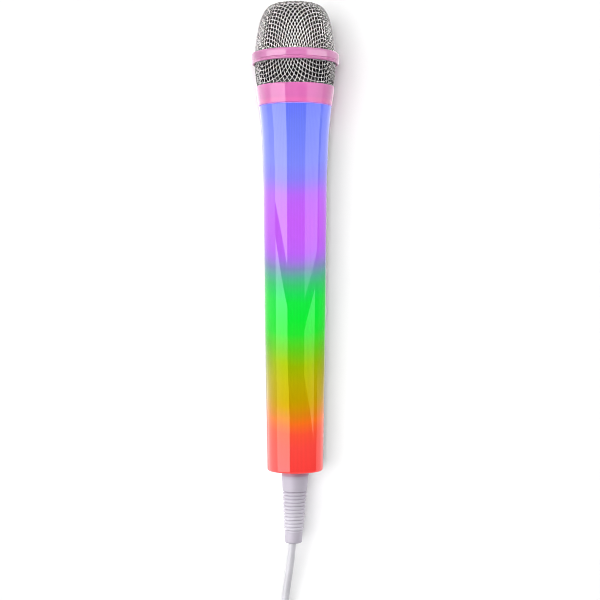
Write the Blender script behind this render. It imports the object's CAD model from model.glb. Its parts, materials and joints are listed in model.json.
"""A wired microphone with a backlit rainbow handle, a woven wire head and a cable.

It stands along +Z: the handle's lower lip is at z = 0, the grille dome ends at z = 257.5 mm and
the cable hangs below. The camera looks along +Y, so left is -X, right is +X, and the studio
floor is a nearly upright plane behind the microphone. Shapes are in mm, materials in metres.
"""
import json
import math

import bmesh
import bpy
import numpy as np
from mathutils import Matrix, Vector

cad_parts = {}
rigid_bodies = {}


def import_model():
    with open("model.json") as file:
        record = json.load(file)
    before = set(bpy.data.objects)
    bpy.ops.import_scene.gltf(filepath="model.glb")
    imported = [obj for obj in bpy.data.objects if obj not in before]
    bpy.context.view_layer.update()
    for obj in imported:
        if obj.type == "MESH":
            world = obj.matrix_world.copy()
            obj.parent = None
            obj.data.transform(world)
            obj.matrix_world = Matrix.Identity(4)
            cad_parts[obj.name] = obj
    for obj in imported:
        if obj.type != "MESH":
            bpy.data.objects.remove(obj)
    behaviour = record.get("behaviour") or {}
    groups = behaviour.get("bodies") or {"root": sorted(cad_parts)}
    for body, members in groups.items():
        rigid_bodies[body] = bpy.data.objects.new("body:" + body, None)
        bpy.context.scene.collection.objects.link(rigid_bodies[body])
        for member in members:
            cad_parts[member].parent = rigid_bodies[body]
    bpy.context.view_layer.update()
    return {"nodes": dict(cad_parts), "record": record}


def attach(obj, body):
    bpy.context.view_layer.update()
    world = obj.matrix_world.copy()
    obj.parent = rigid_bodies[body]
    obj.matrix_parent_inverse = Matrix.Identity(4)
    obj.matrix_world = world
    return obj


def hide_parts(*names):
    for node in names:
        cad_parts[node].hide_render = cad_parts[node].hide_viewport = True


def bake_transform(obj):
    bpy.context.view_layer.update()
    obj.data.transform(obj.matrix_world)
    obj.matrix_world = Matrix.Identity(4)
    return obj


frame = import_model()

MM = 0.001

# upper grille: a superelliptic dome
DOME_TOP, DOME_HEIGHT, DOME_RADIUS = 257.5, 34.3, 22.78
DOME_BASE = DOME_TOP - DOME_HEIGHT
DOME_SIDE_POWER, DOME_CROWN_POWER = 6.0, 1.504

# wire cloth
WIRE_RADIUS, WIRE_SIDES = 0.205, 7
CRIMP = 0.32                # half the crimp depth
STEPS_PER_CROSSING = 5
ARC_STEP = 0.05             # sampling of a turned surface along its meridian

# barrel: (radius, height)
BARREL = np.array([
    (15.42, 1.3), (15.65, 14.7), (16.10, 41.2), (16.55, 67.8), (16.88, 94.3),
    (17.07, 120.9), (17.35, 147.4), (17.52, 160.7), (17.78, 167.3), (18.03, 174.0),
    (18.30, 180.6), (18.70, 187.3), (19.33, 193.9), (20.13, 200.6)])
BARREL_TOP = BARREL[-1, 1]
BARREL_WALL, BARREL_SEGMENTS = 2.0, 192
LIP = ((14.12, 0.0), (15.05, 0.36), BARREL[0])      # three points on the lower lip's arc
BORE_RADIUS, BORE_FLOOR = 17.65, 190.4              # counterbore for the neck
SLOT_LO, SLOT_HI, SLOT_HALF = 134.6, 145.4, 2.2     # switch slot, facing +Y
SHARP_ANGLE = 34            # degrees; steeper edges are shaded sharp

# ribs of the strain relief, counted downwards
RIB_PITCH, RIB_COUNT, RIBS_TOP = 1.94, 12, -11.2
RIB_RADIUS, RIB_TAPER = 6.70, 1.22
GROOVE_DEPTH, GROOVE_DROP = 0.85, 0.48              # groove floor below the rib's face and top

# cable: centre line (x, z), bending in the XZ plane
CABLE_RADIUS = 2.05
CABLE_PATH = np.array([
    (0, -8.0), (0, -16.0), (-0.12, -24.0), (-0.72, -33.0), (-1.50, -40.5), (-2.75, -52.0),
    (-4.35, -63.0), (-5.45, -71.1), (-6.60, -82.0), (-7.25, -94.0), (-7.55, -106.0),
    (-7.60, -118.0)])
INLET_BEND = (-11.5, -36.0)     # heights between which the handle hands over to the cable


# ----------------------------------------------------------------- mesh tools
def new_mesh(name, verts, faces, smooth=True):
    """Object in the scene from vertices in mm."""
    mesh = bpy.data.meshes.new(name)
    mesh.from_pydata((np.asarray(verts, float) * MM).tolist(), [], faces)
    mesh.validate()
    if smooth:
        mesh.polygons.foreach_set("use_smooth", [True] * len(mesh.polygons))
    mesh.update()
    piece = bpy.data.objects.new(name, mesh)
    bpy.context.scene.collection.objects.link(piece)
    return piece


def lathe(profile, segments):
    """Closed (radius, z) outline turned about Z; a point on the axis becomes one vertex."""
    verts, rings = [], []
    for radius, z in profile:
        if radius < 1e-6:
            rings.append([len(verts)] * segments)
            verts.append((0.0, 0.0, z))
        else:
            rings.append(list(range(len(verts), len(verts) + segments)))
            for k in range(segments):
                turn = 2 * math.pi * k / segments
                verts.append((radius * math.cos(turn), radius * math.sin(turn), z))
    faces = []
    for ring, following in zip(rings, rings[1:] + rings[:1]):
        for k in range(segments):
            k2 = (k + 1) % segments
            face = []
            for vert in (ring[k], ring[k2], following[k2], following[k]):
                if vert not in face:
                    face.append(vert)
            if len(face) > 2:
                faces.append(tuple(face))
    return np.array(verts), faces


def sweep_tubes(lines, radius, sides, caps=True):
    """Round tubes along polylines. Each line is (points, normals), both (count, 3)."""
    verts, faces, base = [], [], 0
    turn = 2 * np.pi * np.arange(sides) / sides
    for points, normals in lines:
        count = len(points)
        along = np.gradient(points, axis=0)
        along /= np.linalg.norm(along, axis=1)[:, None]
        up = normals - (normals * along).sum(1)[:, None] * along
        up /= np.linalg.norm(up, axis=1)[:, None]
        side = np.cross(along, up)
        rings = (points[:, None, :]
                 + radius * (np.cos(turn)[None, :, None] * up[:, None, :]
                             + np.sin(turn)[None, :, None] * side[:, None, :]))
        verts.append(rings.reshape(-1, 3))
        for i in range(count - 1):
            ring = base + i * sides
            following = ring + sides
            for k in range(sides):
                k2 = (k + 1) % sides
                faces.append((ring + k, following + k, following + k2, ring + k2))
        if caps:
            last = base + (count - 1) * sides
            faces.append(tuple(base + k for k in range(sides)))
            faces.append(tuple(last + k for k in reversed(range(sides))))
        base += count * sides
    return np.vstack(verts), faces


def clamped_spline(stations, values, start_slope, end_slope):
    """Cubic spline with fixed end slopes, as a function of the station."""
    count = len(stations)
    gaps = np.diff(stations)
    system, target = np.zeros((count, count)), np.zeros(count)
    system[0, :2] = 2 * gaps[0], gaps[0]
    target[0] = 6 * ((values[1] - values[0]) / gaps[0] - start_slope)
    system[-1, -2:] = gaps[-1], 2 * gaps[-1]
    target[-1] = 6 * (end_slope - (values[-1] - values[-2]) / gaps[-1])
    for i in range(1, count - 1):
        system[i, i - 1:i + 2] = gaps[i - 1], 2 * (gaps[i - 1] + gaps[i]), gaps[i]
        target[i] = 6 * ((values[i + 1] - values[i]) / gaps[i]
                         - (values[i] - values[i - 1]) / gaps[i - 1])
    bend = np.linalg.solve(system, target)      # second derivatives

    def value_at(where):
        where = np.clip(np.asarray(where, float), stations[0], stations[-1])
        i = np.clip(np.searchsorted(stations, where) - 1, 0, count - 2)
        gap = stations[i + 1] - stations[i]
        low, high = (stations[i + 1] - where) / gap, (where - stations[i]) / gap
        return (low * values[i] + high * values[i + 1]
                + ((low ** 3 - low) * bend[i] + (high ** 3 - high) * bend[i + 1])
                * gap * gap / 6)

    return value_at


def smoothed(values, mirror, kernel, reach):
    """Running average; the start is mirrored with sign `mirror`, the end runs on straight."""
    extended = np.r_[mirror * values[reach:0:-1], values,
                     2 * values[-1] - values[-2:-2 - reach:-1]]
    return np.convolve(extended, kernel, "same")[reach:-reach]


def sharpen(piece):
    """Split the shading at real edges, keep it smooth elsewhere."""
    edit = bmesh.new()
    edit.from_mesh(piece.data)
    bmesh.ops.recalc_face_normals(edit, faces=edit.faces)
    for edge in edit.edges:
        edge.smooth = (len(edge.link_faces) == 2
                       and edge.calc_face_angle(0.0) < math.radians(SHARP_ANGLE))
    edit.to_mesh(piece.data)
    edit.free()


# ------------------------------------------------------------- woven wire net
def dome_outline(inset):
    """Radii and heights of the dome from its pole down, moved inwards by inset."""
    angle = np.linspace(0, np.pi / 2, 4001)
    radii = DOME_RADIUS * np.sin(angle) ** (2 / DOME_SIDE_POWER)
    heights = (DOME_TOP - DOME_HEIGHT
               + DOME_HEIGHT * np.maximum(0, np.cos(angle)) ** (2 / DOME_CROWN_POWER))
    dr, dz = np.gradient(radii), np.gradient(heights)
    length = np.hypot(dr, dz)
    inner_radii = np.maximum(radii + inset * dz / length, 0)
    inner_heights = heights - inset * dr / length
    inner_radii[0], inner_heights[0] = 0.0, DOME_TOP - inset
    keep = np.r_[True, inner_radii[1:] > 1e-3]
    return inner_radii[keep], inner_heights[keep]


class Turned:
    """Surface of revolution. A point on it is a 2D vector from the pole: its length is the arc
    length, its direction the azimuth."""

    def __init__(self, radii, heights, normal_sign):
        self.normal_sign = normal_sign
        arc = np.r_[0, np.cumsum(np.hypot(np.diff(radii), np.diff(heights)))]
        grid = np.arange(0, arc[-1], ARC_STEP)
        box = np.ones(9) / 9
        radii = smoothed(np.interp(grid, arc, radii), -1, box, reach=8)
        heights = smoothed(np.interp(grid, arc, heights), 1, box, reach=8)
        # run on past the edge along the end direction, so the net can cross it
        dr, dz = radii[-1] - radii[-40], heights[-1] - heights[-40]
        length = math.hypot(dr, dz)
        extra = ARC_STEP * np.arange(1, 600)
        self.arc = np.r_[grid, grid[-1] + extra]
        self.radii = np.r_[radii, radii[-1] + extra * dr / length]
        self.heights = np.r_[heights, heights[-1] + extra * dz / length]
        self.radii[0] = 0.0

    def at(self, spot):
        """Place in space of one point."""
        rho = math.hypot(spot[0], spot[1])
        position = min(rho / ARC_STEP, len(self.radii) - 2)
        k = int(position)
        part = position - k
        radius = self.radii[k] + (self.radii[k + 1] - self.radii[k]) * part
        z = self.heights[k] + (self.heights[k + 1] - self.heights[k]) * part
        if rho < 1e-9:
            return np.array([0.0, 0.0, z])
        return np.array([spot[0] / rho * radius, spot[1] / rho * radius, z])

    def many(self, spots):
        """Places and normals of many points."""
        rho = np.hypot(spots[:, 0], spots[:, 1])
        safe = np.maximum(rho, 1e-9)
        cos, sin = spots[:, 0] / safe, spots[:, 1] / safe
        after, before = rho + 0.1, np.maximum(rho - 0.1, 0)
        radius, z = (np.interp(rho, self.arc, row) for row in (self.radii, self.heights))
        dr, dz = (np.interp(after, self.arc, row) - np.interp(before, self.arc, row)
                  for row in (self.radii, self.heights))
        length = np.hypot(dr, dz)
        out, up = -dz / length * self.normal_sign, dr / length * self.normal_sign
        return (np.stack([cos * radius, sin * radius, z], 1),
                np.stack([cos * out, sin * out, up], 1))


def straight_wires(surf, pitch, count, phase, reach):
    """Crossings on the four arms that run straight out from the pole, one pitch apart."""
    nodes = {(0, 0): np.zeros(2)}
    arms = {(1, 0): phase, (0, 1): phase + math.pi / 2,
            (-1, 0): phase + math.pi, (0, -1): phase - math.pi / 2}
    for (a, b), heading in arms.items():
        way = np.array([math.cos(heading), math.sin(heading)])
        rho, place = 0.0, surf.at((0.0, 0.0))
        for k in range(1, count):
            low, high = rho, rho + 2 * pitch
            for _ in range(36):
                middle = (low + high) / 2
                if np.linalg.norm(surf.at(way * middle) - place) < pitch:
                    low = middle
                else:
                    high = middle
            rho = (low + high) / 2
            place = surf.at(way * rho)
            nodes[(a * k, b * k)] = way * rho
            if rho > reach:
                break
    return nodes


def meeting_point(surf, guess, neighbours, pitch):
    """Newton's search for the crossing one pitch from both neighbours; None if it fails."""
    places = [surf.at(spot) for spot in neighbours]
    nudge = 1e-3

    def misses(spot):
        here = surf.at(spot)
        return np.array([np.linalg.norm(here - place) - pitch for place in places])

    for _ in range(25):
        miss = misses(guess)
        if abs(miss).max() < 1e-4:
            return guess
        slope = np.zeros((2, 2))
        for k in range(2):
            moved = guess.copy()
            moved[k] += nudge
            slope[:, k] = (misses(moved) - miss) / nudge
        det = slope[0, 0] * slope[1, 1] - slope[0, 1] * slope[1, 0]
        if abs(det) < 1e-9:
            return None
        step = np.array([-(slope[1, 1] * miss[0] - slope[0, 1] * miss[1]),
                         -(slope[0, 0] * miss[1] - slope[1, 0] * miss[0])]) / det
        length = np.linalg.norm(step)
        if length > pitch * 0.5:
            step *= pitch * 0.5 / length
        guess = guess + step
    return None


def even_stretch(surf):
    """Flat radii and the arc lengths they land on when the stretch is shared evenly: wires at
    45 degrees to the meridian keep their length."""
    flat, arc, step = [0.0], [0.0], 0.02
    while flat[-1] < 90 and arc[-1] < surf.arc[-1]:
        hoop = np.interp(arc[-1], surf.arc, surf.radii) / flat[-1] if flat[-1] > 0.05 else 1.0
        arc.append(arc[-1] + step * math.sqrt(max(0.2, 2 - min(hoop, 1.2) ** 2)))
        flat.append(flat[-1] + step)
    return flat, arc


def draped_net(surf, pitch, count, phase, reach, even):
    """Square wire cloth draped over the surface: every crossing keeps one pitch to its
    neighbours (a fishnet mapping), eased by `even` towards an evenly shared stretch."""
    nodes = straight_wires(surf, pitch, count, phase, reach)
    for sa in (1, -1):
        for sb in (1, -1):
            for i in range(1, count):
                for j in range(1, count):
                    first = nodes.get((sa * i, sb * (j - 1)))
                    second = nodes.get((sa * (i - 1), sb * j))
                    corner = nodes.get((sa * (i - 1), sb * (j - 1)))
                    if first is None or second is None or corner is None:
                        continue
                    if max(math.hypot(*first), math.hypot(*second)) > reach:
                        continue
                    spot = meeting_point(surf, first + second - corner, (first, second), pitch)
                    if spot is not None:
                        nodes[(sa * i, sb * j)] = spot
    flat, arc = even_stretch(surf)
    cos, sin = math.cos(phase), math.sin(phase)
    net = {}
    for (i, j), spot in nodes.items():
        x, y = pitch * (i * cos - j * sin), pitch * (i * sin + j * cos)
        rho = math.hypot(x, y)
        shared = (np.array([x, y]) / rho * np.interp(rho, flat, arc) if rho > 1e-9
                  else np.zeros(2))
        weight = even * abs(math.sin(2 * (math.atan2(spot[1], spot[0]) - phase)))
        net[(i, j)] = spot * (1 - weight) + shared * weight
    return net


def stretches(flags, shortest):
    """(start, end) of every run of true flags that is at least `shortest` long."""
    start = None
    for n, flag in enumerate([*flags, False]):
        if flag and start is None:
            start = n
        elif not flag and start is not None:
            if n - start >= shortest:
                yield start, n
            start = None


def smooth_through(spots, steps):
    """Catmull-Rom curve through the spots, at fractional indices `steps`."""
    padded = np.vstack([2 * spots[0] - spots[1], spots, 2 * spots[-1] - spots[-2]])
    k = np.minimum(steps.astype(int), len(spots) - 2)
    u = (steps - k)[:, None]
    before, here, ahead, beyond = padded[k], padded[k + 1], padded[k + 2], padded[k + 3]
    return 0.5 * (2 * here + (ahead - before) * u
                  + (2 * before - 5 * here + 4 * ahead - beyond) * u ** 2
                  + (3 * here - before - 3 * ahead + beyond) * u ** 3)


def wire_lines(surf, net, family, keep):
    """Polylines of one wire family (0 or 1), crimped over and under the other one."""
    span = max(max(abs(i), abs(j)) for i, j in net)
    lines = []
    for fixed in range(-span, span + 1):
        keys = [(t, fixed) if family == 0 else (fixed, t) for t in range(-span, span + 1)]
        for start, end in stretches([key in net for key in keys], shortest=2):
            first, last = float(start - span), float(end - 1 - span)
            fine = np.linspace(first, last, int((last - first) * STEPS_PER_CROSSING) + 1)
            spots = np.array([net[key] for key in keys[start:end]])
            points, normals = surf.many(smooth_through(spots, fine - first))
            phase = math.pi * (fixed + family)
            points = points + normals * (CRIMP * np.cos(math.pi * fine + phase))[:, None]
            for a, b in stretches(keep(points), shortest=4):
                lines.append((points[a:b], normals[a:b]))
    return lines


# ------------------------------------------------------------------ materials
NOISE_SPAN = (0.3, 0.7)         # where most of a noise texture's values fall


def srgb(*channels):
    """Linear colour from 0-255 sRGB channels."""
    return tuple((v / 255) / 12.92 if v / 255 <= 0.04045 else ((v / 255 + 0.055) / 1.055) ** 2.4
                 for v in channels)


def scaled(colour, factor):
    return tuple(v * factor for v in colour)


class Nodes:
    """Small builder for a node tree. An input is fed with an output socket or a plain value."""

    def __init__(self, tree):
        self.tree = tree

    def feed(self, socket, value):
        if isinstance(value, bpy.types.NodeSocket):
            self.tree.links.new(value, socket)
        elif socket.type == "RGBA":
            socket.default_value = (*value, 1)
        else:
            socket.default_value = value

    def node(self, kind, inputs=None, **settings):
        made = self.tree.nodes.new(kind)
        for key, value in settings.items():
            setattr(made, key, value)
        for key, value in (inputs or {}).items():
            self.feed(made.inputs[key], value)
        return made

    def math(self, operation, *values):
        return self.node("ShaderNodeMath", dict(enumerate(values)),
                         operation=operation).outputs[0]

    def mul(self, a, b):
        return self.math("MULTIPLY", a, b)


class Mat(Nodes):
    """Material around a Principled shader, textured in object coordinates."""

    def __init__(self, name):
        self.material = bpy.data.materials.new(name)
        self.material.use_nodes = True
        super().__init__(self.material.node_tree)
        self.shader = self.tree.nodes["Principled BSDF"]
        self.made_coords = None

    @property
    def coords(self):
        if self.made_coords is None:
            self.made_coords = self.node("ShaderNodeTexCoord").outputs["Object"]
        return self.made_coords

    def set(self, **inputs):
        for key, value in inputs.items():
            self.feed(self.shader.inputs[key.replace("_", " ")], value)

    def output(self, surface):
        self.feed(self.tree.nodes["Material Output"].inputs["Surface"], surface)

    def noise(self, scale, detail=3.0, rough=0.55, distortion=0.0, coords=None):
        return self.node("ShaderNodeTexNoise", {
            "Scale": scale, "Detail": detail, "Roughness": rough, "Distortion": distortion,
            "Vector": coords or self.coords}).outputs["Fac"]

    def bands(self, direction, scale, distortion=0.0):
        return self.node("ShaderNodeTexWave", {
            "Scale": scale, "Distortion": distortion, "Vector": self.coords},
            bands_direction=direction).outputs["Fac"]

    def remap(self, value, source=NOISE_SPAN, target=(0.0, 1.0)):
        return self.node("ShaderNodeMapRange", {
            "From Min": source[0], "From Max": source[1],
            "To Min": target[0], "To Max": target[1], "Value": value}).outputs["Result"]

    def ramp(self, value, stops):
        """Colour ramp through (position, colour) stops; a single number is a grey."""
        made = self.node("ShaderNodeValToRGB", {"Fac": value})
        elements = made.color_ramp.elements
        while len(elements) > 1:
            elements.remove(elements[-1])
        for k, (position, colour) in enumerate(stops):
            if isinstance(colour, float):
                colour = (colour,) * 3
            if k:
                element = elements.new(position)
            else:
                element = elements[0]
                element.position = position
            element.color = (*colour, 1)
        return made.outputs["Color"]

    def mix(self, factor, a, b, blend="MIX"):
        return self.node("ShaderNodeMix", {0: factor, 6: a, 7: b},
                         data_type="RGBA", blend_type=blend).outputs[2]

    def bump(self, height, strength, depth):
        made = self.node("ShaderNodeBump", {
            "Strength": strength, "Distance": depth, "Height": height})
        self.set(Normal=made.outputs["Normal"])

    def xyz(self):
        return self.node("ShaderNodeSeparateXYZ", {0: self.coords}).outputs

    def square_sum(self, x, y):
        return self.math("ADD", self.mul(x, x), self.mul(y, y))


def moulded(name, colour, rough, grain=1400.0, bump=0.15, vary=0.10, coat=0.0, spec=0.5,
            subsurface=0.0):
    """Moulded plastic or rubber: fine grain, uneven gloss and a slight drift of colour.
    With colour None the base colour is left to the caller."""
    mat = Mat(name)
    big = mat.noise(scale=38.0)
    fine = mat.noise(scale=grain, detail=2.0)
    if colour:
        light = tuple(min(1.0, v * (1 + vary * 0.6)) for v in colour)
        mat.set(Base_Color=mat.mix(mat.remap(big), scaled(colour, 1 - vary), light))
    gloss = mat.math("ADD", mat.remap(big, target=(rough * 0.88, rough * 1.1)),
                     mat.remap(fine, target=(-0.03, 0.03)))
    mat.bump(fine, strength=bump, depth=0.00004)
    mat.set(Roughness=gloss, Coat_Weight=coat, Coat_Roughness=0.05, Specular_IOR_Level=spec)
    if subsurface:
        mat.set(Subsurface_Weight=subsurface, Subsurface_Radius=(0.002, 0.0016, 0.0014),
                Subsurface_Scale=1.0)
    return mat


def metal(name, colour, rough, brushed=None, scratch=0.12):
    """Bare or plated metal with fine scratches. brushed stretches the grain along an axis."""
    mat = Mat(name)
    coords = mat.coords
    if brushed:
        coords = mat.node("ShaderNodeMapping",
                          {"Scale": brushed, "Vector": mat.coords}).outputs["Vector"]
    grain = mat.noise(scale=900.0, detail=4.0, rough=0.6, coords=coords)
    big = mat.noise(scale=60.0)
    gloss = mat.math("ADD", mat.remap(grain, target=(rough * 0.75, rough * 1.25)),
                     mat.remap(big, target=(-0.02, 0.03)))
    mat.set(Base_Color=mat.mix(mat.remap(big, source=(0.35, 0.7)),
                               scaled(colour, 0.872), colour),
            Roughness=gloss, Metallic=1.0)
    mat.bump(grain, strength=scratch, depth=0.00002)
    return mat


# light behind the handle: (height in mm, sRGB)
GLOW = [
    (0, (255, 62, 58)), (14, (255, 71, 62)), (21, (255, 82, 52)), (27, (250, 112, 24)),
    (31, (226, 129, 17)), (35.5, (210, 147, 6)), (40, (194, 158, 0)), (49, (183, 170, 4)),
    (58, (155, 183, 2)), (67, (97, 207, 24)), (75.5, (34, 233, 46)), (84, (9, 240, 52)),
    (93, (18, 236, 64)), (97.5, (28, 225, 86)), (102, (52, 208, 107)), (106.5, (83, 183, 149)),
    (111, (129, 143, 192)), (115.5, (170, 114, 237)), (120, (192, 99, 252)),
    (128, (200, 95, 253)), (137, (201, 94, 252)), (146.5, (195, 98, 253)),
    (151, (187, 104, 254)), (155, (163, 115, 253)), (159.5, (139, 127, 253)),
    (168, (126, 136, 255)), (180, (117, 132, 255)), (190, (111, 129, 253)),
    (201.6, (101, 118, 255)),
]
GLOW_TOP = GLOW[-1][0]
# tint of the skin's reflections: (share of the glow's height, colour)
GLOW_TINT = [
    (0.0, (1, 1, 1)), (0.12, (1, 0.9, 0.6)), (0.18, (1, 1, 0.04)), (0.3, (1, 1, 0.04)),
    (0.38, (0.5, 1, 0.5)), (0.5, (0.5, 1, 1)), (0.58, (1, 1, 1)),
]


def rainbow():
    """Clear skin over a diffusing layer that is lit from behind."""
    side_sag = 0.0035           # how far the colours shift towards the left and right sides
    rib_rate = 132.0            # sine cycles once round are as many
    lit_strength, fresnel_top = 0.86, 1.02
    spill_loss = 0.97           # share of the glow kept off other surfaces
    mat = Mat("backlit_rainbow_shell")
    x, y, z = mat.xyz()
    radius_sq = mat.square_sum(x, y)
    side = mat.math("DIVIDE", mat.mul(x, x), mat.math("MAXIMUM", radius_sq, 1e-8))
    drift = mat.noise(scale=55.0, detail=2.0)
    height = mat.math("SUBTRACT", z, mat.mul(side, side_sag))
    height = mat.math("ADD", height, mat.remap(drift, target=(-0.0006, 0.0006)))
    glow = mat.ramp(mat.math("DIVIDE", height, GLOW_TOP * MM),
                    [(level / GLOW_TOP, srgb(*colour)) for level, colour in GLOW])
    # faint swirl in the diffusing layer behind the clear skin
    swirl = mat.noise(scale=240.0, detail=4.0, rough=0.6, distortion=0.6)
    glow = mat.mix(mat.remap(swirl, source=(0.25, 0.75), target=(0.0, 0.05)),
                   glow, (1.0, 1.0, 1.0), "SOFT_LIGHT")
    # fine upright ribs of the diffusing layer
    ribs = mat.math("SINE", mat.mul(mat.math("ARCTAN2", x, y), rib_rate))
    glow = mat.mix(mat.remap(ribs, source=(-1, 1), target=(0.0, 0.05)), glow, (0.0, 0.0, 0.0))
    spill = mat.node("ShaderNodeLightPath").outputs["Is Diffuse Ray"]
    body = mat.mix(1.0, glow, (0.13, 0.13, 0.13), "MULTIPLY")
    fresnel = mat.node("ShaderNodeFresnel", {"IOR": 1.5}).outputs[0]
    lit = mat.mul(mat.math("SUBTRACT", fresnel_top, fresnel), lit_strength)
    kept = mat.math("SUBTRACT", 1.0, mat.mul(spill, spill_loss))
    scuff = mat.noise(scale=150.0, detail=5.0, rough=0.7)
    mat.set(Base_Color=mat.mix(spill, body, (0.35, 0.35, 0.35)),
            Emission_Color=glow,
            Emission_Strength=mat.mul(lit, kept),
            Specular_Tint=mat.ramp(mat.math("DIVIDE", height, GLOW_TOP * MM), GLOW_TINT),
            Roughness=mat.remap(scuff, source=(0.45, 0.75), target=(0.035, 0.075)),
            IOR=1.5)
    mat.bump(mat.noise(scale=2600.0, detail=2.0), strength=0.03, depth=0.00001)
    return mat


def dome_facing(mat, x, y, z, rho):
    """How squarely the dome, not the single wire, faces the viewer and the shaded normal."""
    radius, height = DOME_RADIUS * MM, DOME_HEIGHT * MM
    up = mat.math("MAXIMUM", mat.math(
        "DIVIDE", mat.math("SUBTRACT", z, DOME_BASE * MM), height), 0.0)
    out = mat.mul(mat.math("POWER", mat.math("DIVIDE", rho, radius), DOME_SIDE_POWER - 1),
                  DOME_SIDE_POWER / radius)
    rise = mat.mul(mat.math("POWER", up, DOME_CROWN_POWER - 1), DOME_CROWN_POWER / height)
    way = mat.node("ShaderNodeCombineXYZ", {
        0: mat.mul(mat.math("DIVIDE", x, rho), out),
        1: mat.mul(mat.math("DIVIDE", y, rho), out), 2: rise})
    turned = mat.node("ShaderNodeVectorTransform", {0: way.outputs[0]}, vector_type="NORMAL",
                      convert_from="OBJECT", convert_to="WORLD")
    unit = mat.node("ShaderNodeVectorMath", {0: turned.outputs[0]}, operation="NORMALIZE")
    geometry = mat.node("ShaderNodeNewGeometry")
    return [mat.node("ShaderNodeVectorMath", {0: unit.outputs[0], 1: geometry.outputs[way]},
                     operation="DOT_PRODUCT").outputs["Value"] for way in ("Incoming", "Normal")]


def wire_metal():
    """Plated wire. The cloth sits over dark foam, so its wires darken where it is seen edge on."""
    face_gain = 1.14
    mat = Mat("plated_grille_wire")
    x, y, z = mat.xyz()
    rho = mat.math("SQRT", mat.square_sum(x, y))
    facing, outward = dome_facing(mat, x, y, z, rho)
    face = mat.mul(mat.ramp(facing, [(0.0, 0.44), (0.3, 0.70), (0.55, 0.80), (0.8, 0.76),
                                     (0.97, 0.98)]), face_gain)
    crown = mat.remap(outward, source=(-0.15, 0.55), target=(0.03, 1.0))
    low = mat.remap(z, source=(0.224, 0.231), target=(0.80, 1.0))
    shade = mat.mul(mat.mul(face, crown), low)
    big = mat.noise(scale=90.0, detail=2.0)
    fine = mat.noise(scale=2200.0)
    patch = mat.noise(scale=850.0, detail=1.0)
    tone = mat.mix(mat.remap(big), (0.88, 0.845, 0.845), (0.97, 0.935, 0.935))
    shade = mat.mul(shade, mat.remap(patch, source=(0.36, 0.64), target=(0.66, 1.06)))
    grey = mat.node("ShaderNodeCombineColor", {0: shade, 1: shade, 2: shade}).outputs[0]
    mat.set(Base_Color=mat.mix(1.0, tone, grey, "MULTIPLY"), Specular_Tint=grey,
            Roughness=mat.remap(fine, target=(0.22, 0.36)), Metallic=0.45)
    mat.bump(fine, strength=0.10, depth=0.00002)
    return mat


def foam():
    mat = Mat("open_cell_foam")
    cells = mat.node("ShaderNodeTexVoronoi", {"Scale": 1500.0, "Vector": mat.coords},
                     feature="DISTANCE_TO_EDGE").outputs["Distance"]
    cell = mat.mul(cells, mat.noise(scale=700.0, detail=4.0))
    mat.set(Base_Color=mat.ramp(cell, [(0.0, (0.012, 0.012, 0.013)),
                                       (0.25, (0.004, 0.004, 0.0045)), (1.0, 0.002)]),
            Roughness=0.95, Specular_IOR_Level=0.05)
    mat.bump(cell, strength=0.9, depth=0.0003)
    return mat


def pcb():
    """Green board with paler tracks."""
    board, track = (0.02, 0.16, 0.06), (0.05, 0.30, 0.13)
    mat = Mat("circuit_board")
    tracks = mat.bands("X", scale=260.0, distortion=1.5)
    mat.set(Base_Color=mat.ramp(tracks, [(0.0, board), (0.55, board), (0.62, track),
                                         (1.0, track)]),
            Roughness=0.35, Coat_Weight=0.3)
    mat.bump(tracks, strength=0.2, depth=0.00003)
    return mat


def led(name, colour):
    mat = Mat(name)
    noise = mat.noise(scale=900.0, detail=2.0)
    mat.set(Base_Color=mat.mix(mat.remap(noise), scaled(colour, 0.7), colour),
            Emission_Color=colour,
            Emission_Strength=mat.remap(noise, target=(1.6, 2.0)), Roughness=0.15)
    return mat


def battery():
    """Printed sleeve whose pattern repeats with each cell."""
    first_cell, cell_length = 0.034, 0.0445
    mat = Mat("battery_sleeve")
    z = mat.xyz()[2]
    band = mat.math("FRACT", mat.math(
        "DIVIDE", mat.math("SUBTRACT", z, first_cell), cell_length))
    noise = mat.noise(scale=500.0)
    mat.set(Base_Color=mat.ramp(band, [
                (0.0, (0.55, 0.55, 0.57)), (0.012, (0.03, 0.07, 0.22)),
                (0.62, (0.04, 0.10, 0.30)), (0.64, (0.62, 0.42, 0.10)),
                (0.955, (0.66, 0.46, 0.12)), (0.965, (0.6, 0.6, 0.62)), (1.0, (0.6, 0.6, 0.62))]),
            Roughness=mat.remap(noise, target=(0.2, 0.32)), Metallic=0.6)
    mat.bump(noise, strength=0.1, depth=0.00002)
    return mat


def felt():
    mat = Mat("pressed_felt")
    noise = mat.noise(scale=1600.0, detail=5.0, rough=0.75)
    mat.set(Base_Color=mat.ramp(noise, [(0.3, (0.30, 0.28, 0.26)), (0.7, (0.62, 0.60, 0.56))]),
            Roughness=0.95, Sheen_Weight=0.4)
    mat.bump(noise, strength=0.8, depth=0.0002)
    return mat


def winding():
    mat = Mat("copper_winding")
    turns = mat.bands("Z", scale=1600.0)
    mat.set(Base_Color=mat.ramp(turns, [(0.0, (0.35, 0.10, 0.04)), (1.0, (0.80, 0.36, 0.18))]),
            Metallic=1.0, Roughness=0.3)
    mat.bump(turns, strength=0.6, depth=0.00008)
    return mat


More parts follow.
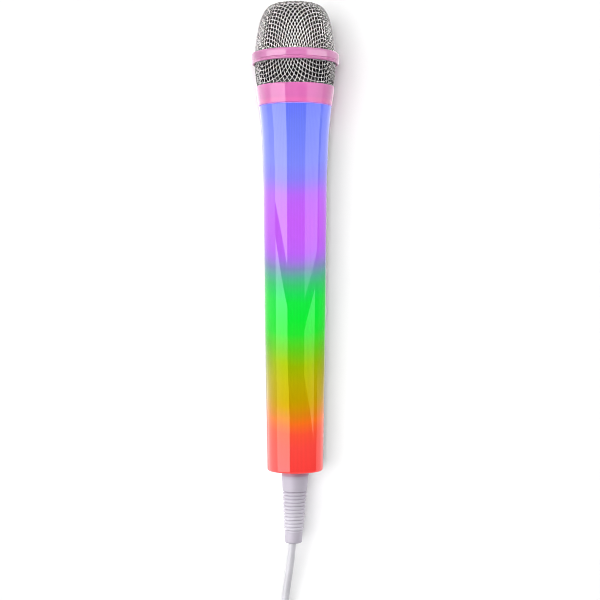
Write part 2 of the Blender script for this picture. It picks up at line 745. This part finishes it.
def pink():
    """Glossy pink, greyer on the band above the collar."""
    spill_strength = 1.0        # the lit handle warms the collar's lower edge
    mat = Mat("glossy_pink")
    big = mat.noise(scale=45.0)
    scuff = mat.noise(scale=170.0, detail=5.0, rough=0.7)
    z = mat.xyz()[2]
    body = mat.mix(mat.remap(big), (0.655, 0.138, 0.418), (0.695, 0.150, 0.446))
    band = mat.mix(mat.remap(big), (0.590, 0.176, 0.410), (0.624, 0.190, 0.432))
    spill = mat.ramp(mat.remap(z, source=(0.2010, 0.2060)), [
        (0.0, (0.02, 0.02, 0.16)), (0.14, (0.03, 0.0, 0.03)), (0.26, (0.065, 0.008, 0.0)),
        (0.42, (0.055, 0.006, 0.0)), (0.72, 0.0)])
    mat.set(Base_Color=mat.mix(mat.remap(z, source=(0.214, 0.222)), body, band),
            Roughness=mat.remap(scuff, source=(0.45, 0.75), target=(0.05, 0.10)),
            Emission_Strength=mat.mul(mat.remap(z, source=(0.1960, 0.1965)), spill_strength),
            Emission_Color=spill, IOR=1.52)
    mat.bump(mat.noise(scale=2400.0, detail=2.0), strength=0.03, depth=0.00001)
    return mat


LILAC_RUBBER = dict(rough=0.46, grain=1800, bump=0.25, vary=0.06, spec=0.3)
# strain relief, lower end to upper end: (share of the height, colour)
BOOT_TONES = [
    (0.0, (0.52, 0.48, 0.56)), (0.13, (0.54, 0.50, 0.58)), (0.17, (0.70, 0.67, 0.74)),
    (0.60, (0.60, 0.56, 0.64)), (0.68, (0.52, 0.475, 0.555)), (0.80, (0.51, 0.465, 0.545)),
    (0.836, (0.47, 0.40, 0.49)), (0.852, (0.42, 0.25, 0.33)), (0.868, (0.50, 0.20, 0.27)),
    (1.0, (0.50, 0.20, 0.27)),
]


def boot_rubber():
    """Soft lilac rubber, paler over its ribs, darker down in the grooves."""
    groove_floor = (RIBS_TOP - GROOVE_DROP) * MM
    mat = moulded("soft_lilac_rubber", None, **LILAC_RUBBER)
    # height before the boot bends
    z = mat.node("ShaderNodeAttribute", attribute_name="rest_z").outputs["Fac"]
    tone = mat.ramp(mat.remap(z, source=(-0.040, 0.004)), BOOT_TONES)
    wave = mat.math("COSINE", mat.mul(mat.math("ADD", z, -groove_floor),
                                      2 * math.pi / (RIB_PITCH * MM)))
    ribbed = mat.mul(mat.remap(z, source=(-0.0345, -0.0342)),
                     mat.remap(z, source=(-0.0108, -0.0105), target=(1.0, 0.0)))
    groove = mat.mul(mat.remap(wave, source=(0.45, 0.95), target=(0.0, 0.40)), ribbed)
    base = mat.mix(mat.remap(mat.noise(scale=38.0), target=(0.0, 0.08)),
                   tone, (0.25, 0.22, 0.27))
    mat.set(Base_Color=mat.mix(groove, base, (0.12, 0.09, 0.13)))
    return mat


def seal():
    """Thin violet seal that picks up a little of the handle's light."""
    mat = moulded("seal_rubber", (0.28, 0.16, 0.55), rough=0.6, bump=0.3)
    noise = mat.noise(scale=300.0, detail=2.0)
    mat.set(Emission_Color=mat.mix(mat.remap(noise), (0.10, 0.06, 0.28), (0.13, 0.07, 0.34)),
            Emission_Strength=1.0)
    return mat


SLOTS = {
    "rainbow_shell": rainbow(),
    "pink_gloss": pink(),
    "grille_wire": wire_metal(),
    "foam_black": foam(),
    "seal_rubber": seal(),
    "white_plastic": moulded("frosted_white", (0.80, 0.80, 0.82), rough=0.45, subsurface=0.2),
    "lilac_plastic": moulded("satin_lilac", (0.50, 0.43, 0.56), rough=0.38, coat=0.1),
    "boot_rubber": boot_rubber(),
    "plug_rubber": moulded("lilac_plug_rubber", (0.52, 0.48, 0.56), **LILAC_RUBBER),
    "cable_jacket": moulded("pale_cable_jacket", (0.61, 0.60, 0.64), rough=0.44, grain=1600,
                            bump=0.2, vary=0.06, spec=0.3),
    "nickel": metal("nickel_plate", (0.70, 0.68, 0.64), rough=0.14, brushed=(1, 1, 9)),
    "black_plastic": moulded("black_plastic", (0.02, 0.02, 0.022), rough=0.4, bump=0.25),
    "neck_metal": metal("turned_alloy", (0.20, 0.20, 0.21), rough=0.40, brushed=(1, 1, 30)),
    "circuit_board": pcb(),
    "led_red": led("led_red", (1.0, 0.05, 0.03)),
    "led_yellow": led("led_yellow", (0.9, 0.75, 0.02)),
    "led_green": led("led_green", (0.03, 1.0, 0.10)),
    "led_violet": led("led_violet", (0.55, 0.08, 1.0)),
    "led_blue": led("led_blue", (0.08, 0.16, 1.0)),
    "steel": metal("zinc_steel", (0.56, 0.56, 0.58), rough=0.3),
    "copper": winding(),
    "magnet_grey": metal("sintered_magnet", (0.16, 0.16, 0.17), rough=0.5, scratch=0.4),
    "felt": felt(),
    "battery_wrap": battery(),
    "film": moulded("thin_film", (0.60, 0.57, 0.45), rough=0.2, bump=0.1, coat=0.6),
    "can_aluminium": metal("sleeved_can", (0.14, 0.16, 0.26), rough=0.35),
    "wire_red": moulded("lead_insulation", (0.45, 0.03, 0.03), rough=0.4),
    "brass": metal("plain_brass", (0.70, 0.50, 0.20), rough=0.28),
}

node_slot = {part["node"]: part["material_slot"] for part in frame["record"]["subparts"]}
for name, node in frame["nodes"].items():
    slot = "plug_rubber" if name == "plug_grip" else node_slot[name]
    node.data.materials.clear()
    node.data.materials.append(SLOTS[slot].material)


def dress(piece, slot, body=None):
    """Give a piece its material slot and, if named, the rigid body it rides on."""
    piece.data.materials.append(SLOTS[slot].material)
    if body:
        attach(piece, body)


# ---------------------------------------------------------------- barrel shell
barrel_radius = clamped_spline(BARREL[:, 1], BARREL[:, 0], start_slope=0.02, end_slope=0.17)


def arc_through(first, middle, last, steps):
    """Points of the circular arc through three points, without the first."""
    (ax, ay), (bx, by), (cx, cy) = first, middle, last
    det = 2 * (ax * (by - cy) + bx * (cy - ay) + cx * (ay - by))
    a_sq, b_sq, c_sq = (x * x + y * y for x, y in (first, middle, last))
    centre_x = (a_sq * (by - cy) + b_sq * (cy - ay) + c_sq * (ay - by)) / det
    centre_y = (a_sq * (cx - bx) + b_sq * (ax - cx) + c_sq * (bx - ax)) / det
    radius = math.hypot(ax - centre_x, ay - centre_y)
    start = math.atan2(ay - centre_y, ax - centre_x)
    sweep = math.atan2(cy - centre_y, cx - centre_x) - start
    return [(centre_x + radius * math.cos(start + sweep * k / steps),
             centre_y + radius * math.sin(start + sweep * k / steps))
            for k in range(1, steps + 1)]


def barrel_profile():
    """Outer rows going up and inner rows coming down, as (radius, height)."""
    levels = [z for z in np.arange(2.6, 200.0, 1.5)
              if min(abs(z - SLOT_LO), abs(z - SLOT_HI)) > 0.6] + [SLOT_LO, SLOT_HI]
    outer = [(13.35, 0.0), (13.9, 0.0), LIP[0]] + arc_through(*LIP, steps=10)
    outer += [(barrel_radius(z), z) for z in sorted(levels)]
    outer += [(barrel_radius(200.3), 200.3), (20.09, 200.53), (20.02, BARREL_TOP)]
    inner = [(BORE_RADIUS, BARREL_TOP), (BORE_RADIUS, BORE_FLOOR)]
    inner += [(barrel_radius(z) - BARREL_WALL, z) for z in (
        BORE_FLOOR, 187, 180, 172, 164, 156, 150, SLOT_HI, SLOT_LO,
        128, 118, 106, 94, 80, 66, 52, 38, 26, 15)]
    inner += [(13.47, 6.0), (11.4, 6.0), (11.4, 4.05), (13.35, 4.05)]
    return outer, inner


def barrel_shell():
    """The lit shell: rounded lower lip, long flare, counterbore and the slot for the switch."""
    count = BARREL_SEGMENTS
    slot_mid_radius = 17.3
    half = round(count * math.asin(SLOT_HALF / slot_mid_radius) / (2 * math.pi))
    outer, inner = barrel_profile()
    profile = outer + inner
    rows = len(profile)
    turn = 2 * np.pi * np.arange(count) / count + math.pi / 2       # column 0 looks along +Y

    def beside_slot(row):
        return SLOT_LO - 0.01 <= profile[row % rows][1] <= SLOT_HI + 0.01

    verts = []
    for i, (radius, z) in enumerate(profile):
        ring = np.stack([radius * np.cos(turn), radius * np.sin(turn), np.full(count, z)], 1)
        if beside_slot(i):
            for sign in (1, -1):                    # the slot's sides stand square
                x = -sign * SLOT_HALF
                ring[sign * half % count, :2] = x, math.sqrt(radius * radius - x * x)
        verts.append(ring)

    faces = []
    for i in range(rows):
        for k in range(count):
            if beside_slot(i) and beside_slot(i + 1) and (k < half or k >= count - half):
                continue
            k2, j = (k + 1) % count, (i + 1) % rows
            faces.append((i * count + k, i * count + k2, j * count + k2, j * count + k))

    # walls of the slot: two sides, then its lower and upper ends
    out_rows, in_rows = (
        sorted((i for i in span if beside_slot(i)), key=lambda i: profile[i][1])
        for span in (range(len(outer)), range(len(outer), rows)))
    for sign in (1, -1):
        k = sign * half % count
        loop = [i * count + k for i in out_rows] + [i * count + k for i in reversed(in_rows)]
        faces.append(tuple(loop[::sign]))
    columns = [k % count for k in range(-half, half + 1)]
    for end, order in ((0, -1), (-1, 1)):
        out_base, in_base = out_rows[end] * count, in_rows[end] * count
        for a, b in zip(columns, columns[1:]):
            faces.append((out_base + a, out_base + b, in_base + b, in_base + a)[::order])
    return np.vstack(verts), faces


shell = new_mesh("barrel_skin", *barrel_shell())
sharpen(shell)
dress(shell, "rainbow_shell", "handle")
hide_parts("barrel_shell")


# --------------------------------------------------------------- woven grilles
# lower grille's outline from the axis outwards: (radius, height)
BOWL = np.array([
    (0, 208.3), (8, 208.32), (12, 208.45), (16, 208.85), (18.2, 209.6), (19.4, 210.5),
    (20.15, 212.0), (20.72, 213.3), (21.31, 216.1), (21.58, 219.0), (21.78, 222.0),
    (22.0, 226.95)])


def bowl_outline():
    """The bowl's radii and heights, resampled and smoothed."""
    arc = np.r_[0, np.cumsum(np.hypot(np.diff(BOWL[:, 0]), np.diff(BOWL[:, 1])))]
    fine = np.linspace(0, arc[-1], 1200)
    reach, spread = 60, 22.0
    kernel = np.exp(-0.5 * (np.arange(-reach, reach + 1) / spread) ** 2)
    kernel /= kernel.sum()
    return [smoothed(np.interp(fine, arc, BOWL[:, k]), mirror, kernel, reach)
            for k, mirror in ((0, -1), (1, 1))]


def woven_grille(side, surf, keep, **cloth):
    """Both wire families of one grille, kept where `keep` holds."""
    net = draped_net(surf, **cloth)
    for family, tag in enumerate("ab"):
        lines = wire_lines(surf, net, family, keep)
        wires = new_mesh(f"{side}_wire_{tag}", *sweep_tubes(lines, WIRE_RADIUS, WIRE_SIDES))
        dress(wires, "grille_wire", "head")
        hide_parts(side + "_grille")


def in_lower_grille(points):
    z = points[:, 2]
    return (z > 210.95) & (z < 226.75) & (np.hypot(points[:, 0], points[:, 1]) > 19.3)


woven_grille("upper", Turned(*dome_outline(0.6), normal_sign=1.0),
             keep=lambda points: points[:, 2] > 227.25,
             pitch=2.1, count=44, phase=math.radians(45), reach=53.0, even=0.62)
woven_grille("lower", Turned(*bowl_outline(), normal_sign=-1.0), keep=in_lower_grille,
             pitch=2.2, count=40, phase=math.radians(37), reach=46.0, even=0.55)


# ------------------------------------------------------------------ foam liner
def thinned(radii, heights, lowest, step):
    """Outline points above `lowest`, at least `step` apart."""
    kept = []
    for point in zip(radii, heights):
        if point[1] < lowest:
            break
        if not kept or math.hypot(point[0] - kept[-1][0], point[1] - kept[-1][1]) >= step:
            kept.append(point)
    return kept


def roughen(piece):
    """Press the foam's surface in by a wavy and a random amount (all in metres)."""
    wave_height, grain = 0.00010, 0.00004
    random = np.random.default_rng(11)
    places = np.array([vert.co for vert in piece.data.vertices])
    depth = (np.sin(places[:, 0] * 5200 + 1.3) * np.sin(places[:, 1] * 4700 + 0.4)
             * np.sin(places[:, 2] * 5600) * wave_height
             + random.normal(0, grain, len(places)))
    outward = places.copy()
    outward[:, 2] = 0
    length = np.linalg.norm(outward, axis=1)[:, None]
    unit = np.where(length > 1e-5, outward / np.maximum(length, 1e-9), 0)
    places = places - unit * np.abs(depth)[:, None]
    piece.data.vertices.foreach_set("co", places.ravel())


outer = thinned(*dome_outline(1.75), lowest=231.0, step=0.8)
outer += [(19.85, z) for z in (230.4, 229.0, 227.5, 226.0, 224.5)]
outer += [(19.8 - 0.05 * k, 223.0 - k) for k in range(9)]
inner = thinned(*dome_outline(4.4), lowest=232.0, step=1.6)
inner += [(17.35, z) for z in (229.0, 225.0, 221.0, 217.0, 215.0)]
liner = new_mesh("foam_liner", *lathe(outer + inner[::-1], segments=120))
roughen(liner)
dress(liner, "foam_black", "head")
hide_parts("foam_windscreen")

# ----------------------------------------------------------------------- cable
cable_x = clamped_spline(-CABLE_PATH[:, 1], CABLE_PATH[:, 0], start_slope=0.0, end_slope=0.0)

# name, upper and lower end, replaced pieces, bodies, heights where the blend starts and ends
CABLE_PIECES = (
    ("inlet", 21.0, -37.0, ["cable_inlet_length"], ("handle", "cable_1"), INLET_BEND),
    ("1", -37.0, -63.0, ["cable_length_1"], ("cable_1", "cable_2"), (-39.0, -61.0)),
    ("2", -63.0, -89.0, ["cable_length_2"], ("cable_2", "cable_3"), (-65.0, -87.0)),
    ("3", -89.0, -121.0, ["cable_length_3", "cable_length_4"], ("cable_3", "plug"),
     (-91.0, -113.0)),
)


def blend_between(piece):
    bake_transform(piece)


for tag, top, bottom, replaced, bodies, blend_heights in CABLE_PIECES:
    heights = np.linspace(top, bottom, int((top - bottom) / 0.8))
    centres = np.stack([cable_x(-heights), np.zeros_like(heights), heights], 1)
    normals = np.tile([0.0, -1.0, 0.0], (len(heights), 1))
    jacket = new_mesh("cable_jacket_" + tag, *sweep_tubes(
        [(centres, normals)], CABLE_RADIUS, sides=36, caps=False))
    dress(jacket, "cable_jacket")
    blend_between(jacket)
    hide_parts(*replaced)


# -------------------------------------------------------------- strain relief
# rounded shoulder and soft-bottomed groove: offset from the rib's face, drop from its top
SHOULDER = ((0.06, 0.02), (0.22, 0.10))
# offset from the groove's floor, drop from the rib's top
GROOVE = ((0.25, 0.20), (0.06, 0.32), (0, GROOVE_DROP), (0.06, 0.64), (0.25, 0.76))
# from the lower lip up the bore and round the flange: (radius, height)
BOOT_BORE = [
    (4.70, -39.45), (4.58, -39.75), (4.36, -39.98), (4.05, -40.1), (3.68, -40.1), (3.58, -39.8),
    (3.10, -35.0), (2.62, -28.5), (2.32, -23.5), (2.14, -18.0), (2.12, -8.0), (2.12, 5.9),
    (8.3, 5.95), (8.4, 5.8), (8.4, 4.2), (8.3, 4.06), (6.5, 4.06), (6.5, 1.16), (7.3, 1.14),
]


def boot_profile():
    """Closed outline: upper cone, ribs, plain lower end, then the bore and flange."""
    profile = [(7.60, 1.1), (7.65, 0.9)]
    profile += [(7.62 - 0.92 * k / 12, 0.4 - 11.3 * k / 12) for k in range(13)]
    last = RIB_COUNT - 1
    for k in range(RIB_COUNT):
        face = RIB_RADIUS - RIB_TAPER * k / last
        next_face = RIB_RADIUS - RIB_TAPER * min(k + 1, last) / last
        floor_radius = face - GROOVE_DEPTH
        rib_top = RIBS_TOP - RIB_PITCH * k
        profile += [(face - inset, rib_top - drop) for inset, drop in SHOULDER]
        profile += [(floor_radius + offset, rib_top - drop) for offset, drop in GROOVE]
        crest_top, crest_bottom = rib_top - 0.88, rib_top - RIB_PITCH - 0.02
        if k < last:
            for step in range(7):
                u = step / 6
                profile.append((next_face - 0.36 * abs(2 * u - 1) ** 2.6,
                                crest_top + (crest_bottom - crest_top) * u))
        else:
            profile += [(next_face - 0.62, crest_top), (4.98, crest_top - 0.25),
                        (4.86, crest_top - 0.55)]
    profile += [(4.84 - 0.02 * k, -35.2 - 0.78 * k) for k in range(6)]
    return profile + BOOT_BORE


verts, faces = lathe(boot_profile(), segments=112)
# lean to -X with the cable
verts[:, 0] -= 0.95 * np.clip((-verts[:, 2] - 1.0) / 39.0, 0, 1.2) ** 1.15
boot = new_mesh("strain_relief_skin", verts, faces)
dress(boot, "boot_rubber")
rest_z = boot.data.attributes.new("rest_z", "FLOAT", "POINT")
rest_z.data.foreach_set("value", [vert.co.z for vert in boot.data.vertices])
blend_between(boot)
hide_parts("strain_relief_boot")

# ----------------------------------------------------------------- studio floor
FLOOR_START_Z, FLOOR_START_Y = 1.3, 15.50       # level with the barrel's lip
FLOOR_SLOPE = (24.40 - 15.46) / (227.0 - FLOOR_START_Z)
FLOOR_HALF_WIDTH = 200.0


def ease(t):
    """Smooth step, clamped to 0..1."""
    t = min(1.0, max(0.0, t))
    return t * t * (3 - 2 * t)


def floor_y(z):
    """Plane under the rim and the band ring; past the strain relief it swells up to the cable."""
    flat = FLOOR_START_Y + FLOOR_SLOPE * (z - FLOOR_START_Z)
    swell = ease((-40.0 - z) / 46.0)
    return (flat + 2.5 * ease((-4.0 - z) / 22.0)) * (1 - swell) + 9.0 * swell


def floor_material():
    """Matt white, see-through from behind."""
    mat = Mat("studio_floor")
    mat.set(Base_Color=mat.mix(mat.remap(mat.noise(scale=9.0, detail=2.0)),
                               (0.90, 0.90, 0.90), (0.92, 0.92, 0.92)),
            Roughness=0.9, Specular_IOR_Level=0.1)
    either = mat.node("ShaderNodeMixShader", {
        0: mat.node("ShaderNodeNewGeometry").outputs["Backfacing"],
        1: mat.shader.outputs[0],
        2: mat.node("ShaderNodeBsdfTransparent").outputs[0]})
    mat.output(either.outputs[0])
    return mat.material


rows = [420.0, 300.0, 200.0, 100.0, 0.0, -4.0] + [-6.0 - 2.0 * k for k in range(38)]
floor = new_mesh(
    "studio_floor",
    [(x, floor_y(z), z) for z in rows for x in (-FLOOR_HALF_WIDTH, FLOOR_HALF_WIDTH)],
    [(2 * k + 2, 2 * k + 3, 2 * k + 1, 2 * k) for k in range(len(rows) - 1)])
floor.data.materials.append(floor_material())

# ------------------------------------------------------------------ softboxes
CARD_RADIUS, CARD_COLUMNS, CARD_ROWS = 200.0, 33, 9
# Curved cards round the axis: name, lower and upper edge as (azimuth, height) points, radiance,
# and (height, radiance) stops that take over from it. Azimuth: degrees from -Y towards +X.
CARDS = (
    ("left_upper", [(-75, 157), (-28, 112)], [(-75, 420), (-28, 420)], 4.8,
     [(100, 4.8), (236, 4.8), (250, 6.6), (266, 6.6), (284, 2.6), (420, 2.2)]),
    ("left_lower", [(-75, -190), (-28, -190)], [(-75, 131), (-28, 83.5)], 4.8, None),
    ("left_ring", [(-28, 240), (-22.4, 240)], [(-28, 300), (-22.4, 300)], 6.0, None),
    ("right_ring", [(28.6, 240), (34, 240)], [(28.6, 300), (34, 300)], 4.6, None),
    ("right_rim", [(87.5, 190), (97, 190)], [(87.5, 420), (97, 420)], 1.0, None),
    ("low_front", [(-150, -420), (150, -420)], [(-150, -192), (150, -192)], 0.7, None),
    ("low_side", [(-27, -191), (110, -191)], [(-27, -120), (110, -120)], 0.6, None),
    ("left_foot", [(-28, -190), (-21.3, -190)], [(-28, 45), (-21.3, 5)], 4.8, None),
    ("left_edge", [(-95, -190), (-75.5, -190)], [(-95, 420), (-75.5, 420)], 2.5,
     [(-190, 2.4), (40, 2.4), (72, 1.2), (118, 1.2), (160, 1.9), (205, 2.2), (225, 2.2),
      (244, 2.0), (262, 1.7), (284, 1.4), (420, 1.4)]),
    ("right_upper", [(34, 90), (49, 100), (87, 124)], [(34, 420), (87, 420)], 2.3,
     [(80, 2.3), (236, 2.3), (250, 5.2), (266, 5.2), (284, 2.2), (420, 2.0)]),
    ("right_lower", [(33.7, 34), (59, 11), (76, -7)], [(33.7, 66), (44.5, 76), (76, 98)],
     2.8, None),
)
# Flat sheets just over the floor, for reflections near the outline: x range and stops
SHEETS = (
    ("left", (-198.0, -27.0),
     [(-70, 2.3), (40, 2.3), (70, 1.1), (118, 1.1), (160, 1.7), (205, 2.8), (228, 2.8),
      (240, 1.6), (252, 1.3), (262, 1.8), (400, 1.6)]),
    ("right", (27.0, 198.0),
     [(-70, 1.3), (26, 1.3), (52, 0.35), (112, 0.3), (165, 1.0), (212, 1.7), (228, 1.7),
      (236, 1.6), (243, 1.7), (246, 3.2), (253, 3.2), (257, 1.4), (400, 1.1)]),
)


def by_height(mat, stops):
    """A number that follows (height in mm, value) stops."""
    low, high = stops[0][0], stops[-1][0]
    top = max(value for _, value in stops)
    share = mat.remap(mat.xyz()[2], source=(low * MM, high * MM))
    grey = mat.ramp(share, [((z - low) / (high - low), value / top) for z, value in stops])
    return mat.mul(grey, top)


def softbox(name, verts, faces, radiance=1.0, stops=None, smooth=False):
    """Glowing sheet seen only in glossy surfaces."""
    sheet = new_mesh("softbox_" + name, verts, faces, smooth)
    mat = Mat("softbox_" + name)
    mat.tree.nodes.remove(mat.shader)
    emission = mat.node("ShaderNodeEmission", {"Strength": radiance})
    if stops:
        mat.feed(emission.inputs["Strength"], by_height(mat, stops))
    mat.output(emission.outputs[0])
    sheet.data.materials.append(mat.material)
    sheet.visible_camera = False
    sheet.visible_diffuse = False
    sheet.visible_shadow = False


def card_mesh(lower, upper):
    azimuths = np.linspace(lower[0][0], lower[-1][0], CARD_COLUMNS)
    bottoms, tops = (np.interp(azimuths, *zip(*edge)) for edge in (lower, upper))
    verts = []
    for azimuth, bottom, top in zip(azimuths, bottoms, tops):
        x = CARD_RADIUS * math.sin(math.radians(azimuth))
        y = -CARD_RADIUS * math.cos(math.radians(azimuth))
        verts += [(x, y, bottom + (top - bottom) * k / (CARD_ROWS - 1))
                  for k in range(CARD_ROWS)]
    faces = [(a, a + 1, a + CARD_ROWS + 1, a + CARD_ROWS)
             for i in range(CARD_COLUMNS - 1)
             for a in range(i * CARD_ROWS, (i + 1) * CARD_ROWS - 1)]
    return verts, faces


for name, lower, upper, radiance, stops in CARDS:
    softbox(name, *card_mesh(lower, upper), radiance, stops, smooth=True)
for side, edges, stops in SHEETS:
    verts = [(x, floor_y(z) - 1.5, z) for z in (-70.0, 400.0) for x in edges]
    softbox("sheet_" + side, verts, [(0, 1, 3, 2)], stops=stops)
softbox("top", [(-260, -320, 470), (260, -320, 470), (260, 60, 470), (-260, 60, 470)],
        [(3, 2, 1, 0)], radiance=2.2)

# ----------------------------------------------------------------------- suns
MATT = ("boot_rubber", "plug_rubber", "cable_jacket", "lilac_plastic")
matt, others, glossy, solid, woven = (bpy.data.collections.new(name + "_pieces") for name in (
    "matt", "other", "glossy", "all", "woven"))
matt_materials = [SLOTS[slot].material for slot in MATT]
for piece in bpy.context.scene.objects:
    if piece.type != "MESH" or piece.name.startswith("softbox"):
        continue
    material = piece.data.materials[0] if piece.data.materials else None
    is_matt = material in matt_materials
    (matt if is_matt else others).objects.link(piece)
    if material == SLOTS["grille_wire"].material:
        woven.objects.link(piece)
    if piece is not floor:
        solid.objects.link(piece)
        if not is_matt:
            glossy.objects.link(piece)

# name, azimuth (degrees from -Y towards +X), elevation, strength / pi, angular size, lit pieces
SUNS = (
    ("key_left", -20, 0, 0.57, 37, others),
    ("fill_front", 0, 0, 0.44, 18, others),
    ("matt_left", -62, 6, 0.92, 40, matt),
    ("matt_right", 44, 6, 0.57, 50, matt),
    ("fill_right", 52, 0, 0.16, 50, glossy),
    ("grille_top", -4, 38, 0.24, 22, woven),
    ("fill_rear", 180, 12, 0.62, 30, None),
)


def sun(name, azimuth, elevation, strength, size):
    """Soft sunlight from this direction, left out of reflections."""
    lamp = bpy.data.lights.new(name, "SUN")
    lamp.energy = strength * math.pi
    lamp.angle = math.radians(size)
    light = bpy.data.objects.new(name, lamp)
    bpy.context.scene.collection.objects.link(light)
    around, rise = math.radians(azimuth), math.radians(elevation)
    source = Vector((math.sin(around) * math.cos(rise), -math.cos(around) * math.cos(rise),
                     math.sin(rise)))
    light.rotation_euler = source.to_track_quat("Z", "Y").to_euler()
    light.visible_glossy = False
    return light


for *aim, receivers in SUNS:
    light = sun(*aim)
    if receivers:
        light.light_linking.receiver_collection = receivers
    else:                       # the floor does not hide the back from the rear sun
        light.light_linking.blocker_collection = solid

# ---------------------------------------------------------------------- world
SKY, MIRRORED = 0.16, 0.15      # what falls on matt surfaces, what glossy ones see
PAPER = 1.0                     # the paper sweep beyond the floor, seen directly
world = bpy.data.worlds.new("studio")
bpy.context.scene.world = world
world.use_nodes = True
sky = Nodes(world.node_tree)
rays = sky.node("ShaderNodeLightPath").outputs
unseen = sky.math("MULTIPLY_ADD", rays["Is Glossy Ray"], MIRRORED - SKY, SKY)
seen = sky.node("ShaderNodeMix", {0: rays["Is Camera Ray"], 2: unseen, 3: PAPER})
background = world.node_tree.nodes["Background"]
sky.feed(background.inputs["Strength"], seen.outputs[0])
sky.feed(background.inputs["Color"], (1, 1, 1))

# --------------------------------------------------------------------- camera
EYE = Vector((2.6544, -757.61, 105.3465))
TILT = math.atan(1 / 68.5)      # looks slightly down
camera = bpy.data.cameras.new("view")
camera.sensor_width = 36.0
camera.lens = 82.2
camera.clip_start = 0.05
camera.clip_end = 20.0
eye = bpy.data.objects.new("view", camera)
bpy.context.scene.collection.objects.link(eye)
eye.location = EYE * MM
eye.rotation_euler = (math.pi / 2 - TILT, 0, 0)
bpy.context.scene.camera = eye
bpy.context.scene.view_settings.view_transform = "Standard"
bpy.context.scene.cycles.filter_width = 0.8
